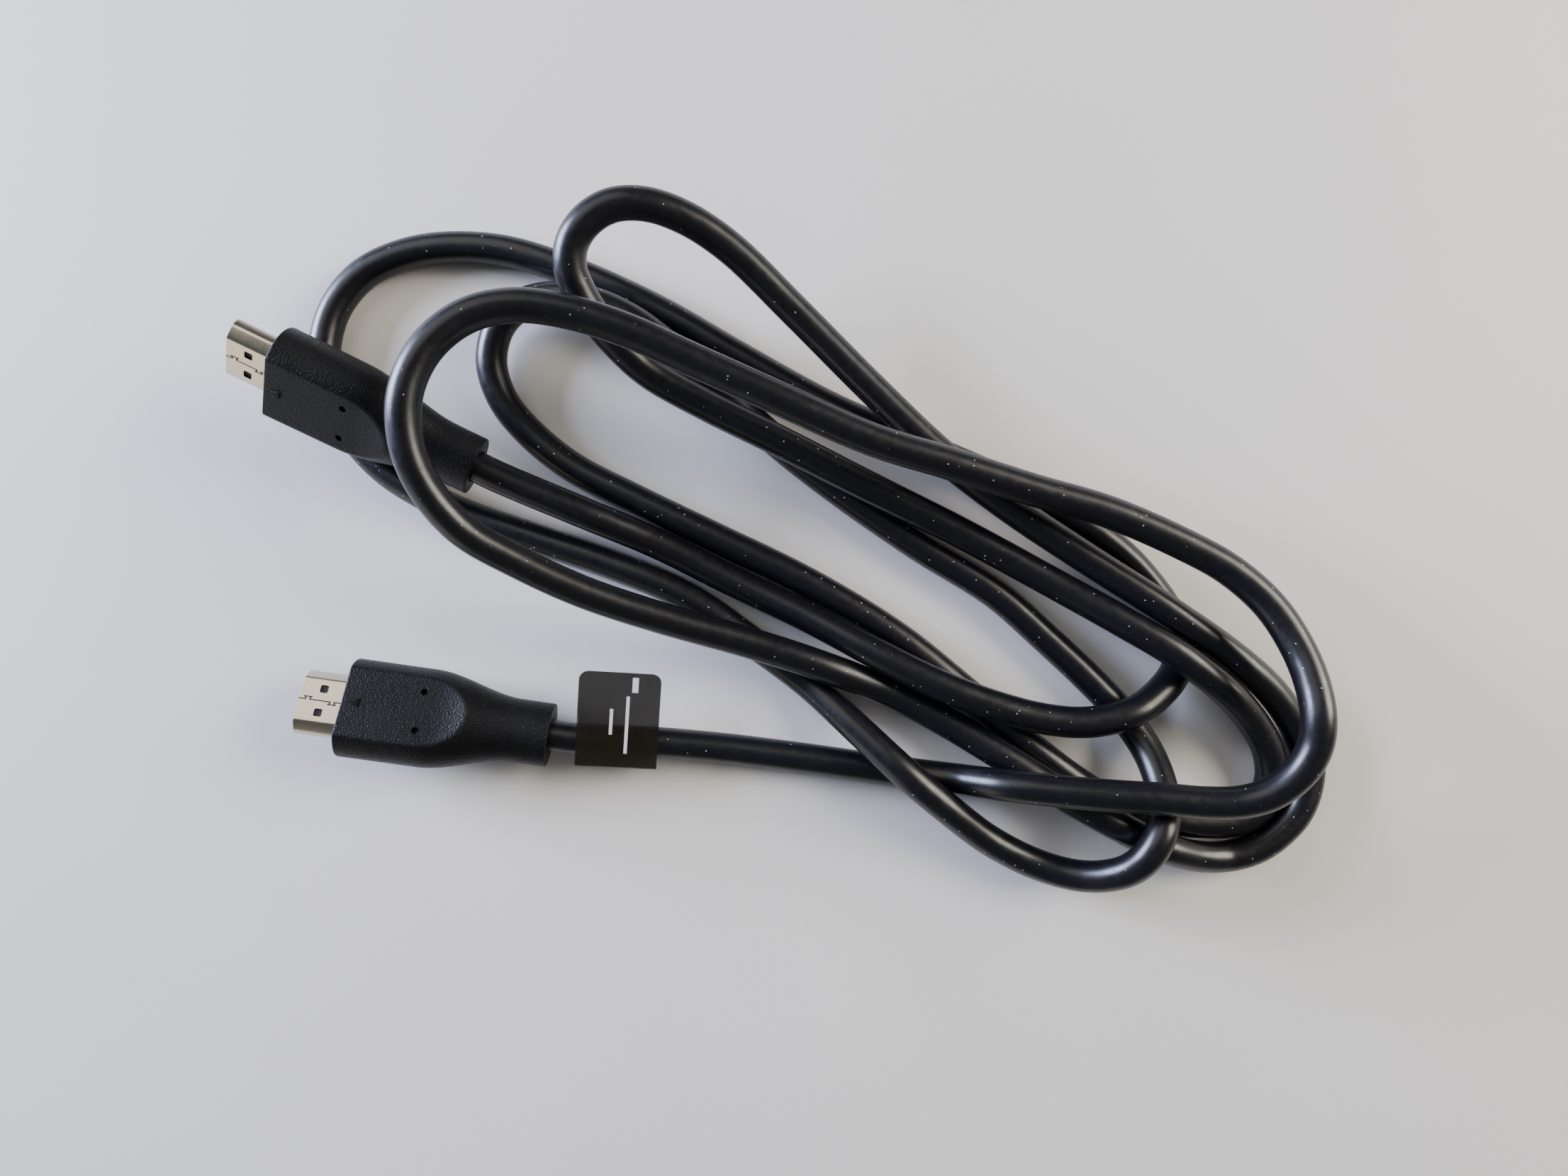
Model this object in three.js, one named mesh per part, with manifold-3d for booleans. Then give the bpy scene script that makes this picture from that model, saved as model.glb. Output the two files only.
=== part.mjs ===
// An HDMI cable 2.1 metres long, lying loosely coiled on a table: one round cord in nine long loops,
// a moulded plug on each end, and a film label folded round the cord behind the first plug.
// Millimetres, +Z up. The floor is z = 0, and the group's origin is under the middle of the coil.
import * as THREE from "three";
import { mergeVertices } from "three/addons/utils/BufferGeometryUtils.js";
import Module from "manifold-3d";

const wasm = await Module();
wasm.setup();

// Cord: a round jacket, and the air that neighbouring pieces keep
const CORD_DIAMETER = 6.8;
const CORD_SIDES = 12;
const AIR = 0.3;
const STRAIGHT_EXIT = 5.2; // the cord leaves a plug straight for this far

// Plug body, the moulded grip: an oval bar that narrows to the cord, with a flat cut into both faces
const BODY_LENGTH = 43.8;
const BODY_WIDTH = 21.6;
const BODY_THICKNESS = 11.6; // from flat to flat
const BAR_THICKNESS = 16.2; // of the oval bar that the flats are cut from
const COLLAR_WIDTH = 13.9; // at the cord
const COLLAR_THICKNESS = 11;
const WAIST_START = 17; // the width shrinks from here
const WAIST_END = 36.5; // to here
const THINNING_START = 15; // and the thickness from here
const THINNING_END = 38;
const SCOOP_START = 19; // each flat ends in a thumb scoop that rises from here
const SCOOP_RADIUS = 27;
const SCOOP_LENGTH = 10;
const BAR_STEPS = 24;
const BAR_SIDES = 40;
const SCOOP_STEPS = 8;
const MARK_SIDE = 1.9; // small raised arrow on the face
const MARK_PLACE = 2.6;
const MARK_RISE = 0.2;
const DIMPLE_DIAMETER = 1.45; // two blind holes in the face
const DIMPLE_DEPTH = 1.3;
const DIMPLE_PLACE = 16.5;
const DIMPLE_SPACING = 8.4;

// Metal shell of the connector, a D section of folded sheet
const SHELL_WIDTH = 13.9;
const SHELL_HEIGHT = 4.45;
const SHELL_TOP_WIDTH = 9.7; // the narrow side of the D
const SHELL_SIDE_HEIGHT = 2.4; // upright part of its sides
const SHELL_CORNER = 0.5;
const SHEET = 0.3;
const SHELL_OUT = 10; // stands out of the body
const SHELL_IN = 4.2; // held in the body
const LATCH_HOLE = 1.7;
const LATCH_SPACING = 5.2;
const LATCH_PLACE = 5.3; // from the body's front

// Insulator inside the shell, with the slot for the socket's tongue and the contacts in it
const INSULATOR_SETBACK = 0.5; // behind the shell's rim
const SLOT_WIDTH = SHELL_WIDTH - 2.7; // leaves the insulator's side walls
const SLOT_HEIGHT = 1.9;
const SLOT_DEPTH = 7;
const CONTACT_PITCH = SLOT_WIDTH / 11.2;
const CONTACT_ROWS = [10, 9];
const CONTACT_WIDTH = 0.45;
const CONTACT_THICKNESS = 0.2;
const CONTACT_LENGTH = 5.6;
const CONTACT_AIR = 0.1;

// Film label, folded round the cord with its two halves stuck together as a flag
const LABEL_LENGTH = 17.6; // along the cord
const LABEL_FILM = 0.25;
const LABEL_FOLD = 1.0; // slack past the cord at the fold
const LABEL_FLAG = 15.6; // from the cord's middle to the free edge
const LABEL_CORNER = 2;
const LABEL_DROP = 2.1; // the film's two halves meet this many cord radii from the cord's middle
const GLUE = 0.1;
const LABEL_START = 0.5; // past the place where the cord starts to bend down
const LABEL_TILT = THREE.MathUtils.degToRad(24);

const CORD_RADIUS = CORD_DIAMETER / 2;
const FLOOR = CORD_RADIUS; // height of the middle of a cord that lies on the floor

// Each plug: where the middle of its rear face is, and how it is turned, in degrees
const PLUG_A = { rear: [-51, -32.2, 6.9], yaw: -8.5, pitch: 3, roll: -21 };
const PLUG_B = { rear: [-65.3, 25.8, 13.4], yaw: -25.8, pitch: 8, roll: 45 };

// The cord's route from plug A to plug B, by hand from the photograph. Where it crosses itself
// the upper strand passes at least a diameter above the lower one.
const ROUTE = [
  // out along the front, under the last loop and up over the strands behind it
  [-27, -34.2, 4.6], [-10, -36, FLOOR], [10, -38.6, FLOOR], [27, -41, FLOOR], [38.5, -41.9, 6.8],
  [47.7, -42, 13.8], [57.5, -42.6, 16.4], [67.4, -43.2, 18], [78.5, -43.7, 19.2],
  // large loop on the right
  [87.1, -44.3, 20], [94.1, -43.9, 21], [99.4, -41.8, 22.5], [104.1, -37.5, 24],
  [106.8, -32.1, 25], [107.3, -26.2, 25.5], [107, -19.1, 23.5], [105.1, -11.7, 21],
  [100.6, -3.6, 19], [92.8, 3.7, 18], [82.4, 9.5, 17.8],
  // back along the top of the coil
  [67.3, 15.9, 18.2], [51.1, 20.4, 19.5], [34, 25.5, 21.5], [18.2, 30, 23.5], [0, 37.5, 26],
  [-17.8, 45.1, 28], [-30.9, 50.6, 30], [-42, 53.8, 31.5],
  // large loop on the left, over plug B
  [-52.2, 54.7, 33], [-60.4, 52.5, 34.5], [-66.4, 48, 35.5], [-70.2, 42.6, 36], [-72.4, 36, 36],
  [-72.6, 29.3, 35], [-71.3, 23.2, 33.5], [-68.3, 17, 31], [-63.3, 11.1, 28], [-54.5, 5.6, 24],
  // down to the outer arc at the lower right
  [-41.8, -0.7, 19.5], [-26.6, -6.1, 15], [-7.7, -11.7, 10.9], [7.8, -16.8, 9.2],
  [21.8, -22.4, 5.8], [35.7, -29.5, 5.8], [47.1, -36.3, 7.6], [58.6, -43.6, 9],
  [71.2, -50.8, 9.8], [82.5, -56.4, 8.4], [91.5, -59.2, 5.2], [98.5, -59.6, FLOOR],
  [104.9, -57.8, FLOOR], [110, -54.3, FLOOR], [114, -49.7, FLOOR], [116.3, -43.5, FLOOR],
  [116.4, -37.5, 3.6], [113.1, -30.8, 5], [106.7, -22.6, 7], [97.6, -15, 9], [83.4, -5.4, 10.6],
  // up to the small loop at the top
  [68, 4.7, 9.8], [48.5, 17.6, 10], [33.9, 28.7, 10.8], [19.2, 42.3, 12], [1.9, 58.7, 15.5],
  [-11.1, 70.1, 20], [-20, 75, 23.5], [-27.9, 76.9, 26], [-34.5, 76.2, 27], [-39.4, 73.2, 27],
  [-42.5, 68.9, 26], [-43.1, 64.4, 24.5], [-41.8, 60.7, 22.5], [-39.4, 56.5, 20],
  [-36.2, 52.5, 17.5], [-29.1, 46, 14], [-17.5, 39.6, 11.8], [0, 31.1, 10.9], [17.5, 22.3, 9.7],
  // to the inner arc at the lower right
  [39.3, 11.7, 7.5], [58.8, 1, 8], [72.8, -7.2, 10.8], [84.7, -14.5, 12.3], [95, -22.1, 10.8],
  [102.8, -29.5, 7], [107, -36.2, 5], [108.2, -42.3, 3.6], [106.2, -48, FLOOR],
  [101.3, -51.5, FLOOR], [94.5, -52.2, FLOOR], [85.5, -51.4, FLOOR], [77, -49.4, FLOOR],
  // along the floor to the small loop on the left
  [67.5, -44.6, FLOOR], [55, -35.4, FLOOR], [40, -22.7, FLOOR], [25, -10.7, FLOOR],
  [5, 1.4, FLOOR], [-15, 11.1, FLOOR], [-33, 19.7, FLOOR], [-47, 26.9, FLOOR], [-57, 35, 3.6],
  [-62.6, 42.3, 4], [-64.6, 50.1, 5], [-62.5, 57.6, 6], [-57.6, 61.9, 7], [-50, 63.4, 8],
  [-42, 62.2, 8.8], [-33.8, 58.6, 9], [-27.4, 54.3, 8.5], [-17.8, 46.8, 5.5],
  // to the loop at the lower middle
  [-8, 38.2, FLOOR], [0, 31.1, FLOOR], [12, 21.8, FLOOR], [30, 9.3, FLOOR], [47, -1.3, FLOOR],
  [58, -11, FLOOR], [68, -20.4, FLOOR], [75.3, -28.3, 3.6], [79.7, -35.4, 6],
  [81.3, -41.8, 9.7], [81, -46.9, 13], [79.2, -51.5, 16], [76.6, -56, 16.2], [73.4, -59.7, 14],
  [69.1, -61.9, 11], [63.7, -62.6, 8], [55.8, -60.8, 6.2], [45.4, -55.5, 6.8], [34.9, -47.3, 10.2],
  // over the first stretch and along the floor, under plug B
  [26, -39.7, 11.4], [15.7, -30.4, 8], [5, -20.9, FLOOR], [-7, -12, FLOOR],
  [-22, -1.7, FLOOR], [-38, 5.1, FLOOR], [-55, 10.9, FLOOR], [-70, 16.1, FLOOR],
  [-80, 20.7, FLOOR], [-88, 25.8, FLOOR], [-94, 31.8, FLOOR], [-99, 39.5, FLOOR],
  [-102, 48, FLOOR], [-101.8, 56, FLOOR], [-99.2, 63.2, FLOOR], [-93.5, 69.8, FLOOR],
  [-85.5, 73.8, FLOOR], [-76, 75.7, FLOOR], [-62, 75, FLOOR], [-46, 69.9, FLOOR],
  // along the back to the loop in the middle right
  [-28, 61.7, FLOOR], [-10, 51.4, FLOOR], [10, 40.4, FLOOR], [30, 31.8, FLOOR], [50, 23, FLOOR],
  [66, 14.4, FLOOR], [75, 7.6, FLOOR], [81.5, 0.4, FLOOR], [86, -6.5, FLOOR], [88.2, -13, 3.6],
  [86.6, -18.1, 5], [81.7, -23, 8], [75.1, -26.8, 10.6], [65.9, -28.9, 10.6],
  [56.2, -28.2, 10.6], [44.5, -25.1, 10.8], [32.9, -20.6, 10.6],
  // and up to plug B
  [19.5, -13.9, 9], [4.9, -6.2, 6], [-11.9, 1.8, 4.5], [-27.7, 9.7, 5.5], [-43.7, 16.4, 10],
];

// The middle of the coil's own box, which becomes the origin
const MIDDLE = [1.8, 7.15];

// Finishes, as the photograph shows them
const jacketBlack = new THREE.MeshStandardMaterial({ color: 0x1b1b20, roughness: 0.42, metalness: 0 });
const gripBlack = new THREE.MeshStandardMaterial({ color: 0x1d1d20, roughness: 0.6, metalness: 0 });
const nickel = new THREE.MeshStandardMaterial({ color: 0xcdc8bd, roughness: 0.25, metalness: 1 });
const insulatorBlack = new THREE.MeshStandardMaterial({ color: 0x121214, roughness: 0.5, metalness: 0 });
const gold = new THREE.MeshStandardMaterial({ color: 0xd9b15c, roughness: 0.3, metalness: 1 });
const smokyFilm = new THREE.MeshStandardMaterial({ color: 0x2e2c22, roughness: 0.2, metalness: 0 });

// Closed geometry to a solid for cutting and joining, and back
function solidOf(geometry) {
  const bare = geometry.clone();
  bare.deleteAttribute("normal");
  bare.deleteAttribute("uv");
  const merged = mergeVertices(bare, 1e-4);
  return new wasm.Manifold(new wasm.Mesh({
    numProp: 3,
    vertProperties: new Float32Array(merged.attributes.position.array),
    triVerts: new Uint32Array(merged.index.array),
  }));
}

function geometryOf(solid) {
  const mesh = solid.getMesh();
  const geometry = new THREE.BufferGeometry();
  geometry.setAttribute("position", new THREE.BufferAttribute(new Float32Array(mesh.vertProperties), 3));
  geometry.setIndex(new THREE.BufferAttribute(new Uint32Array(mesh.triVerts), 1));
  geometry.computeVertexNormals();
  return geometry;
}

function piece(name, solid, material) {
  const mesh = new THREE.Mesh(geometryOf(solid), material);
  mesh.name = name;
  return mesh;
}

function box(x0, x1, y0, y1, z0, z1) {
  const geometry = new THREE.BoxGeometry(x1 - x0, y1 - y0, z1 - z0);
  return solidOf(geometry.translate((x0 + x1) / 2, (y0 + y1) / 2, (z0 + z1) / 2));
}

// A shape drawn across the plug (y to the side, z up), pushed along x from x0 to x1
function alongPlug(shape, x0, x1) {
  const settings = { depth: x1 - x0, bevelEnabled: false, curveSegments: 6 };
  const geometry = new THREE.ExtrudeGeometry(shape, settings);
  const turned = new THREE.Matrix4().makeBasis(
    new THREE.Vector3(0, 1, 0),
    new THREE.Vector3(0, 0, 1),
    new THREE.Vector3(1, 0, 0),
  );
  return solidOf(geometry.applyMatrix4(turned).translate(x0, 0, 0));
}

// A polygon with its corners rounded to one radius
function roundedShape(corners, radius) {
  const shape = new THREE.Shape();
  corners.forEach((corner, i) => {
    const before = corners[(i + corners.length - 1) % corners.length];
    const after = corners[(i + 1) % corners.length];
    const start = corner.clone().lerp(before, radius / corner.distanceTo(before));
    const end = corner.clone().lerp(after, radius / corner.distanceTo(after));
    if (i === 0) shape.moveTo(start.x, start.y);
    else shape.lineTo(start.x, start.y);
    shape.quadraticCurveTo(corner.x, corner.y, end.x, end.y);
  });
  shape.closePath();
  return shape;
}

// The connector's D section, narrow side up, drawn in by an inset from the shell's outside
function sectionD(inset) {
  const side = SHELL_WIDTH / 2 - inset;
  const top = SHELL_TOP_WIDTH / 2 - inset / 2;
  const high = SHELL_HEIGHT / 2 - inset;
  const shoulder = SHELL_SIDE_HEIGHT - SHELL_HEIGHT / 2 - inset / 4;
  const corners = [
    new THREE.Vector2(-side, -high),
    new THREE.Vector2(side, -high),
    new THREE.Vector2(side, shoulder),
    new THREE.Vector2(top, high),
    new THREE.Vector2(-top, high),
    new THREE.Vector2(-side, shoulder),
  ];
  return roundedShape(corners, Math.max(SHELL_CORNER - inset / 2, SHEET / 2));
}

// Moulded grip: an oval bar turned to its outline, with a flat and a scoop cut into both faces
function makeGrip() {
  const stations = [];
  for (let i = 0; i <= BAR_STEPS; i += 1) {
    const x = BODY_LENGTH * i / BAR_STEPS;
    const waist = THREE.MathUtils.smoothstep(x, WAIST_START, WAIST_END);
    stations.push(new THREE.Vector2(THREE.MathUtils.lerp(BODY_WIDTH, COLLAR_WIDTH, waist) / 2, x));
  }
  const outline = [new THREE.Vector2(0, 0), ...stations, new THREE.Vector2(0, BODY_LENGTH)];
  const bar = new THREE.LatheGeometry(outline, BAR_SIDES);
  bar.rotateZ(-Math.PI / 2);
  const places = bar.attributes.position;
  for (let i = 0; i < places.count; i += 1) {
    const x = places.getX(i);
    const waist = THREE.MathUtils.smoothstep(x, WAIST_START, WAIST_END);
    const thinning = THREE.MathUtils.smoothstep(x, THINNING_START, THINNING_END);
    const width = THREE.MathUtils.lerp(BODY_WIDTH, COLLAR_WIDTH, waist);
    const thickness = THREE.MathUtils.lerp(BAR_THICKNESS, COLLAR_THICKNESS, thinning);
    places.setZ(i, places.getZ(i) * thickness / width);
  }
  const cut = makeFlatCut();
  let grip = solidOf(bar).subtract(cut).subtract(cut.rotate([180, 0, 0]));
  grip = grip.subtract(alongPlug(sectionD(-AIR), -1, SHELL_IN + AIR));
  for (const side of [-1, 1]) {
    const radius = DIMPLE_DIAMETER / 2;
    const dimple = new THREE.CylinderGeometry(radius, radius, 2 * DIMPLE_DEPTH, 16);
    dimple.rotateX(Math.PI / 2);
    dimple.translate(DIMPLE_PLACE, side * DIMPLE_SPACING / 2, BODY_THICKNESS / 2);
    grip = grip.subtract(solidOf(dimple));
  }
  const arrow = new THREE.Shape([
    new THREE.Vector2(MARK_PLACE - MARK_SIDE / 2, 0),
    new THREE.Vector2(MARK_PLACE + MARK_SIDE / 2, -MARK_SIDE / 2),
    new THREE.Vector2(MARK_PLACE + MARK_SIDE / 2, MARK_SIDE / 2),
  ]);
  const mark = new THREE.ExtrudeGeometry(arrow, { depth: 2 * MARK_RISE, bevelEnabled: false });
  mark.translate(0, 0, BODY_THICKNESS / 2 - MARK_RISE);
  return grip.add(solidOf(mark));
}

// What is cut off one face: flat from the front, then rising in the scoop's arc
function makeFlatCut() {
  const flat = BODY_THICKNESS / 2;
  const profile = [new THREE.Vector2(-1, BODY_THICKNESS), new THREE.Vector2(-1, flat)];
  for (let i = 0; i <= SCOOP_STEPS; i += 1) {
    const along = SCOOP_LENGTH * i / SCOOP_STEPS;
    const rise = SCOOP_RADIUS - Math.sqrt(SCOOP_RADIUS ** 2 - along ** 2);
    profile.push(new THREE.Vector2(SCOOP_START + along, flat + rise));
  }
  profile.push(new THREE.Vector2(SCOOP_START + SCOOP_LENGTH, BODY_THICKNESS));
  const settings = { depth: 2 * BODY_WIDTH, bevelEnabled: false };
  const cut = new THREE.ExtrudeGeometry(new THREE.Shape(profile), settings);
  cut.rotateX(Math.PI / 2);
  return solidOf(cut.translate(0, BODY_WIDTH, 0));
}

// Folded metal shell, with two latch holes in its top and two in its bottom
function makeShell() {
  let shell = alongPlug(sectionD(0), -SHELL_OUT, SHELL_IN);
  shell = shell.subtract(alongPlug(sectionD(SHEET), -SHELL_OUT - 1, SHELL_IN + 1));
  const half = LATCH_HOLE / 2;
  for (const side of [-1, 1]) {
    const y = side * LATCH_SPACING / 2;
    const [front, back] = [-LATCH_PLACE - half, -LATCH_PLACE + half];
    shell = shell.subtract(box(front, back, y - half, y + half, -SHELL_HEIGHT, SHELL_HEIGHT));
  }
  return shell;
}

function makeInsulator() {
  const front = -SHELL_OUT + INSULATOR_SETBACK;
  const block = alongPlug(sectionD(SHEET + AIR / 2), front, SHELL_IN);
  const half = SLOT_WIDTH / 2;
  return block.subtract(box(front - 1, front + SLOT_DEPTH, -half, half, -SLOT_HEIGHT / 2, SLOT_HEIGHT / 2));
}

// Contacts lie along the slot, one row under its roof and one on its floor
function contactPlaces() {
  const places = [];
  CONTACT_ROWS.forEach((count, row) => {
    for (let i = 0; i < count; i += 1) {
      const y = (i - (count - 1) / 2) * CONTACT_PITCH;
      const z = (row === 0 ? 1 : -1) * (SLOT_HEIGHT / 2 - CONTACT_AIR - CONTACT_THICKNESS / 2);
      places.push([y, z]);
    }
  });
  return places;
}

function makeContact([y, z]) {
  const back = -SHELL_OUT + INSULATOR_SETBACK + SLOT_DEPTH - CONTACT_AIR;
  const half = CONTACT_WIDTH / 2;
  const thin = CONTACT_THICKNESS / 2;
  return box(back - CONTACT_LENGTH, back, y - half, y + half, z - thin, z + thin);
}

function turnOf(pose) {
  const [roll, pitch, yaw] = [pose.roll, pose.pitch, pose.yaw].map(THREE.MathUtils.degToRad);
  return new THREE.Euler(roll, pitch, yaw, "ZYX");
}

// A whole plug: x runs along it from the front face, and the group is then laid in its place
function makePlug(prefix, pose) {
  const plug = new THREE.Group();
  plug.add(piece(`${prefix}_overmold`, makeGrip(), gripBlack));
  plug.add(piece(`${prefix}_shell`, makeShell(), nickel));
  plug.add(piece(`${prefix}_insulator`, makeInsulator(), insulatorBlack));
  contactPlaces().forEach((place, i) => {
    const number = String(i + 1).padStart(2, "0");
    plug.add(piece(`${prefix}_contact_${number}`, makeContact(place), gold));
  });
  plug.rotation.copy(turnOf(pose));
  const toFront = new THREE.Vector3(-BODY_LENGTH, 0, 0).applyEuler(plug.rotation);
  plug.position.set(...pose.rear).add(toFront);
  return plug;
}

// Where the cord leaves a plug: just off its rear face, then straight on for a little
function exitOf(pose) {
  const out = new THREE.Vector3(1, 0, 0).applyEuler(turnOf(pose));
  return [AIR, STRAIGHT_EXIT].map((far) => new THREE.Vector3(...pose.rear).addScaledVector(out, far));
}

// The route is walked point by point, so each chosen point gets its own ring of the tube
class CordRoute extends THREE.CatmullRomCurve3 {
  getPointAt(u, target) {
    return this.getPoint(u, target);
  }

  getTangentAt(u, target) {
    return this.getTangent(u, target);
  }

  getSpacedPoints(divisions) {
    return this.getPoints(divisions);
  }
}

function cordRoute() {
  const middle = ROUTE.map((point) => new THREE.Vector3(...point));
  return new CordRoute([...exitOf(PLUG_A), ...middle, ...exitOf(PLUG_B).reverse()]);
}

function makeCord(route) {
  const ring = new THREE.Shape();
  for (let i = 0; i < CORD_SIDES; i += 1) {
    const angle = (2 * Math.PI * i) / CORD_SIDES;
    const place = [CORD_RADIUS * Math.cos(angle), CORD_RADIUS * Math.sin(angle)];
    if (i === 0) ring.moveTo(...place);
    else ring.lineTo(...place);
  }
  ring.closePath();
  const tube = new THREE.ExtrudeGeometry(ring, { steps: route.points.length - 1, extrudePath: route });
  const cord = new THREE.Mesh(tube, jacketBlack);
  cord.name = "cable_jacket";
  return cord;
}

// Label: the film goes round the cord like a drop and runs on as a double flag
function makeLabel(route) {
  const [start, next] = [route.points[1], route.points[2]];
  const along = next.clone().sub(start).normalize();
  const place = start.clone().addScaledVector(along, LABEL_START);
  const inner = CORD_RADIUS + AIR;
  const flagHalf = LABEL_FILM + GLUE / 2;
  const neckOf = (radius) => LABEL_DROP * radius;
  const drop = (radius, point) => {
    const lean = Math.acos(radius / neckOf(radius));
    const shape = new THREE.Shape();
    shape.moveTo(neckOf(radius), point);
    shape.absarc(0, 0, radius, lean, 2 * Math.PI - lean, false);
    shape.lineTo(neckOf(radius), -point);
    shape.closePath();
    return shape;
  };
  const push = (shape, from, to) => {
    const settings = { depth: to - from, bevelEnabled: false, curveSegments: 20 };
    return solidOf(new THREE.ExtrudeGeometry(shape, settings).translate(0, 0, from));
  };
  const outside = push(drop(inner + LABEL_FILM, flagHalf), 0, LABEL_LENGTH);
  const stretched = outside.add(outside.translate([-LABEL_FOLD, 0, 0]));
  const hollow = push(drop(inner, GLUE / 5), -1, LABEL_LENGTH + 1);
  const flagShape = roundedShape([
    new THREE.Vector2(0, 0),
    new THREE.Vector2(LABEL_FLAG, 0),
    new THREE.Vector2(LABEL_FLAG, LABEL_LENGTH),
    new THREE.Vector2(0, LABEL_LENGTH),
  ], LABEL_CORNER);
  const flagSettings = { depth: 2 * flagHalf, bevelEnabled: false, curveSegments: 6 };
  const flagPlate = new THREE.ExtrudeGeometry(flagShape, flagSettings);
  flagPlate.rotateX(Math.PI / 2);
  const flag = solidOf(flagPlate.translate(0, flagHalf, 0));
  const label = piece("flag_label", stretched.add(flag).subtract(hollow), smokyFilm);
  const side = new THREE.Vector3(-along.y, along.x, 0).normalize();
  const up = new THREE.Vector3().crossVectors(along, side);
  const flagWay = side.multiplyScalar(Math.cos(LABEL_TILT)).addScaledVector(up, Math.sin(LABEL_TILT));
  const across = new THREE.Vector3().crossVectors(along, flagWay);
  label.quaternion.setFromRotationMatrix(new THREE.Matrix4().makeBasis(flagWay, across, along));
  label.position.copy(place);
  return label;
}

const route = cordRoute();
const cable = new THREE.Group();
cable.add(makeCord(route));
cable.add(makePlug("plug_a", PLUG_A));
cable.add(makePlug("plug_b", PLUG_B));
cable.add(makeLabel(route));
cable.position.set(-MIDDLE[0], -MIDDLE[1], 0);

export default cable;
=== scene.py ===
# A picture-and-sound cable 2.1 metres long, loosely coiled on a pale table, seen from straight above.
# Metres, +Z up, in the CAD's frame: the table is z = 0, and the origin is under the coil's middle.
import math

import bmesh
import bpy
from mathutils import Euler, Matrix, Vector


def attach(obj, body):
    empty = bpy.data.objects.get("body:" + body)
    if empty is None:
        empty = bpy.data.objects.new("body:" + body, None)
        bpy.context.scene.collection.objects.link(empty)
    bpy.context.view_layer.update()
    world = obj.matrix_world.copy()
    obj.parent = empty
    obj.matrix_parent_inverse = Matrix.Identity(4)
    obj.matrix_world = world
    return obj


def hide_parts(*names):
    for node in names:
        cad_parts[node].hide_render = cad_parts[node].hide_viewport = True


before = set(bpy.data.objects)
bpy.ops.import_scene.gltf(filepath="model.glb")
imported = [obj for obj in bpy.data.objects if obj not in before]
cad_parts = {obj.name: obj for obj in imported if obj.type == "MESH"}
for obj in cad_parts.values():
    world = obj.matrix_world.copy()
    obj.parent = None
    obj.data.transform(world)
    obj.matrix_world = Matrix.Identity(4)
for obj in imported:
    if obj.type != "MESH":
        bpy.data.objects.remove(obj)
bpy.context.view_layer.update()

# Camera. The photograph was taken by hand from straight above, and from so close that the upper
# strands look thicker than those on the table. MIDDLE is the coil's middle in that picture.
MIDDLE = Vector((0.0018, 0.00715, 0))
CAMERA_HEIGHT = 0.230
lens = bpy.data.cameras.new("camera")
lens.sensor_width = 36
lens.lens = 23.39
lens.clip_start = 0.01
camera = bpy.data.objects.new("camera", lens)
camera.location = Vector((0, 0, CAMERA_HEIGHT)) - MIDDLE
bpy.context.scene.collection.objects.link(camera)
bpy.context.scene.camera = camera


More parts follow.
